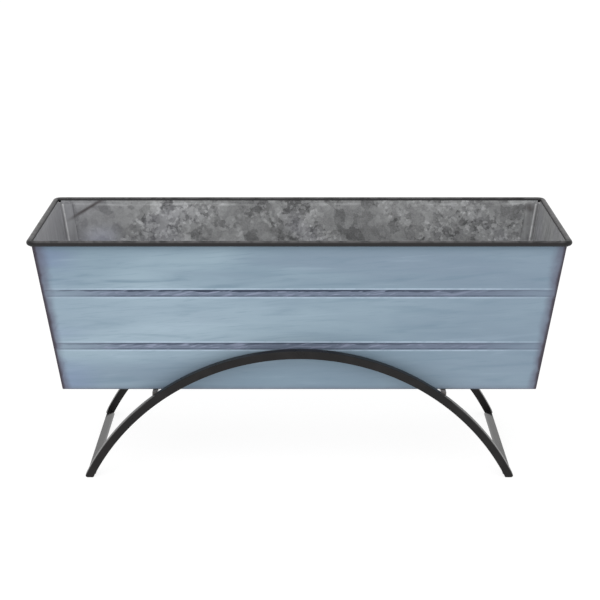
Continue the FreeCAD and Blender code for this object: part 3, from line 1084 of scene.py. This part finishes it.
    def rim_wire(self) -> None:
        """The wire in the rim, swelling to the full bead at the corners, where the sheets meet."""
        Workpiece.clear()
        bpy.ops.mesh.primitive_circle_add(
            vertices=self.wire_sides,
            radius=self.wire_radius,
            rotation=(0, math.pi / 2, 0),
            fill_type="NOTHING",
        )
        piece = Workpiece("rim_wire_loop")
        run_x, run_y = self.end.bead - self.wire_bend, self.side.bead - self.wire_bend
        piece.move(at(0, -self.side.bead, self.wire_height))
        self._run(piece, at(run_x))
        corners = [(run_x, -run_y), (run_x, run_y), (-run_x, run_y), (-run_x, -run_y)]
        runs = [at(y=run_y * 2), at(x=-run_x * 2), at(y=-run_y * 2), at(x=run_x)]
        for (x, y), run in zip(corners, runs):
            piece.spin(at(x, y, self.wire_height), UP, math.pi / 2, self.wire_turns)
            self._run(piece, run)
        piece.weld()
        swell = (self.bead_radius - self.wire_radius) * 0.98
        piece.pick(Pick.VERT, lambda p: abs(p.x) > run_x - TOUCH and abs(p.y) > run_y - TOUCH)
        bpy.ops.transform.shrink_fatten(value=swell)
        piece.wear([self.patina])
        piece.release("trough", "rim_paint", "rim_wire")

    def _run(self, piece: Workpiece, by: Vector) -> None:
        """Extrudes the open end of the wire along a straight run, with a ring near each end."""
        tip = by.normalized() * self.ring_gap
        for step in (tip, by - tip * 2, tip):
            piece.extrude(step)


# ---------------------------------------------------------------- the stand


@dataclass
class Stand:
    """Two arches of square bar, joined by two foot bars and the two bars under the trough."""

    arch_drop: float = 123.6 * MM
    edge_round: float = 0.7 * MM
    foot_round: float = 2.5 * MM
    rub_height: float = 92.0 * MM
    bar_toe: float = 1.8 * MM
    bar_step: float = 2.9 * MM
    overrun: float = math.radians(4)  # how far an arch is swept below the floor, to be cut off
    arch_steps: int = 64
    round_steps: int = 3
    foot_cuts: int = 5

    def __post_init__(self) -> None:
        """Takes the arches' circle from the CAD model."""
        low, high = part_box("front_arch")
        self.bar_side = high.y - low.y
        self.outer_radius = high.z + self.arch_drop
        self.arch_paint = StandPaint("stand_satin_black", shine=0.20, blur=0.24).make()
        self.edge_paint = StandPaint("stand_rubbed_edge", shine=1.00, blur=0.10).make()
        # painted reflection: the rest bars are painted light grey in place of the sky reflected in
        # black bars
        self.rest_sheen_paint = StandPaint(
            "stand_rest_painted_sheen",
            shine=1.00,
            blur=0.05,
            black=(0.260, 0.250, 0.246),
            dusty=(0.560, 0.540, 0.532),
        ).make()
        self.bar_paint = StandPaint("stand_bar_black", shine=0.90, blur=0.12).make()

    def build(self) -> None:
        """Builds every piece of the stand."""
        for node in ("front_arch", "back_arch"):
            self.arch(node)
        for side, node in ((Side.NEAR, "left_foot_bar"), (Side.FAR, "right_foot_bar")):
            self.foot_bar(side, node)
        for node in ("left_rest_bar", "right_rest_bar"):
            self.rest_bar(node)

    def arch(self, node: str) -> None:
        """One arch: half of it swept from its crown, mirrored and cut level at the floor.

        Args:
            node: the CAD node that it stands for.
        """
        low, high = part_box(node)
        middle = (low.y + high.y) / 2
        crown = at(0, middle, high.z - self.bar_side / 2)
        section = at(1, self.bar_side, self.bar_side)
        piece = Workpiece.plane(f"{node}_bar", (0, math.pi / 2, 0), section, crown)
        piece.pick_all()
        piece.bevel(self.edge_round, self.round_steps, corners=True)
        piece.pick_all()
        bpy.ops.mesh.delete(type="ONLY_FACE")
        piece.pick(Pick.EDGE, lambda p: True)
        foot_angle = math.acos(self.arch_drop / self.outer_radius) + self.overrun
        piece.spin(at(0, middle, -self.arch_drop), at(y=1), foot_angle, self.arch_steps)
        piece.modify("MIRROR", use_axis=(True, False, False), use_clip=True, merge_threshold=TOUCH)
        piece.cut(at(), -UP, trim=True)
        self._round_feet(piece)
        piece.weld()
        piece.wear([self.arch_paint, self.edge_paint])
        rounding = self.edge_round * 0.9
        rub = self.outer_radius - rounding
        face = self.bar_side / 2 - rounding
        rubbed_coat = 1

        def on_edge(p: Vector) -> bool:
            """Whether a face is on the rounding of an outer edge, below the trough."""
            on_outside = math.hypot(p.x, p.z + self.arch_drop) > rub
            return on_outside and abs(p.y - middle) > face and p.z < self.rub_height

        piece.paint(on_edge, rubbed_coat)
        piece.release("stand", "stand_paint", node)

    def _round_feet(self, piece: Workpiece) -> None:
        """Rounds the outer corner of both feet with a few cuts that touch the rounding circle."""
        z = self.foot_round
        x = self.reach(self.outer_radius - self.foot_round, z)
        steep = math.atan2(self.arch_drop + z, x)
        for n in range(1, self.foot_cuts):
            turn = steep - (steep + math.pi / 2) * n / self.foot_cuts
            for way in (-1, 1):
                normal = at(way * math.cos(turn), 0, math.sin(turn))
                piece.cut(at(way * x, 0, z) + normal * self.foot_round, normal, trim=True)

    def reach(self, radius: float, height: float) -> float:
        """How far from the middle a circle of the arch is at a height."""
        return math.sqrt(radius**2 - (self.arch_drop + height) ** 2)

    def foot_bar(self, side: Side, node: str) -> None:
        """A bar between two feet: a block whose upper corners are moved to make a sloping face.

        Args:
            side: near for the left and far for the right.
            node: the CAD node that it stands for.
        """
        way = side.value
        low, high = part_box(node)
        piece = Workpiece.block(f"{node}_length", low, high)
        outer_x, inner_x = (high.x, low.x) if way > 0 else (low.x, high.x)
        top_x = way * self.reach(self.outer_radius, high.z)
        piece.pick(Pick.VERT, lambda p: abs(p.x - outer_x) < TOUCH and p.z > high.z - TOUCH)
        piece.move(at(x=top_x - outer_x))
        piece.pick(Pick.VERT, lambda p: abs(p.x - inner_x) < TOUCH and p.z > high.z - TOUCH)
        piece.move(at(way * self.bar_toe, 0, self.bar_step - high.z))
        self._finish_bar(piece, node, self.bar_paint)

    def rest_bar(self, node: str) -> None:
        """A straight square bar between the arches that the trough rests on.

        Args:
            node: the CAD node that it stands for.
        """
        piece = Workpiece.block(f"{node}_length", *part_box(node))
        self._finish_bar(piece, node, self.rest_sheen_paint)

    def _finish_bar(self, piece: Workpiece, node: str, paint: bpy.types.Material) -> None:
        """Rounds the long edges of a bar, paints it and releases it."""
        piece.pick(Pick.EDGE, lambda p: abs(p.y) < TOUCH)
        piece.bevel(self.edge_round, self.round_steps)
        piece.weld()
        piece.wear([paint])
        piece.release("stand", "stand_paint", node)


# ---------------------------------------------------------------- the studio


@dataclass
class Studio:
    """A white floor, soft light from all round, and the camera in front and above."""

    floor_half: float = 20.0
    floor_tone: float = 0.20
    floor_glow: float = 0.86
    sky: float = 0.94
    lamp_place: Triple = (-0.4, -1.3, 2.1)
    lamp_size: float = 1.6
    lamp_power: float = 15.0
    camera_place: Triple = (0.0008, -1.6393, 0.7289)
    camera_pitch: float = math.radians(71.68)
    lens: float = 86.4
    sensor_width: float = 36.0

    def build(self) -> None:
        """Sets up the floor, the light and the camera."""
        self.floor()
        self.light()
        self.camera()

    def floor(self) -> None:
        """A pale matt floor that glows a little, so that it stays white."""
        Workpiece.clear()
        bpy.ops.mesh.primitive_plane_add(size=self.floor_half * 2)
        floor = bpy.context.active_object
        floor.name = "studio_floor"
        white = Recipe("studio_white").finish(
            base_color=(self.floor_tone, self.floor_tone, self.floor_tone, 1.0),
            roughness=0.9,
            specular_ior_level=0.0,
            emission_color=(1.0, 1.0, 1.0, 1.0),
            emission_strength=self.floor_glow,
        )
        floor.data.materials.append(white)

    def light(self) -> None:
        """An even white sky, and one large soft lamp above and in front, a little to the left."""
        world = bpy.data.worlds.new("studio_sky")
        world.use_nodes = True
        sky = next(node for node in world.node_tree.nodes if node.type == "BACKGROUND")
        sky.inputs["Color"].default_value = (1.0, 1.0, 1.0, 1.0)
        sky.inputs["Strength"].default_value = self.sky
        bpy.context.scene.world = world
        data = bpy.data.lights.new("studio_softbox", "AREA")
        data.size = self.lamp_size
        data.energy = self.lamp_power
        lamp = bpy.data.objects.new("studio_softbox", data)
        lamp.location = self.lamp_place
        lamp.rotation_euler = (-Vector(self.lamp_place)).to_track_quat("-Z", "Y").to_euler()
        bpy.context.scene.collection.objects.link(lamp)
        bpy.context.scene.view_settings.view_transform = "Standard"

    def camera(self) -> None:
        """The camera, level from side to side."""
        data = bpy.data.cameras.new("studio_camera")
        data.lens = self.lens
        data.sensor_width = self.sensor_width
        camera = bpy.data.objects.new("studio_camera", data)
        camera.location = self.camera_place
        camera.rotation_euler = (self.camera_pitch, 0.0, 0.0)
        bpy.context.scene.collection.objects.link(camera)
        bpy.context.scene.camera = camera


def main() -> None:
    """Builds the planter and its studio."""
    logging.basicConfig(level=logging.INFO, format="%(name)s: %(message)s", stream=sys.stdout)
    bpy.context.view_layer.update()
    for assembly in (Trough(), Stand(), Studio()):
        assembly.build()


if __name__ == "__main__":
    main()
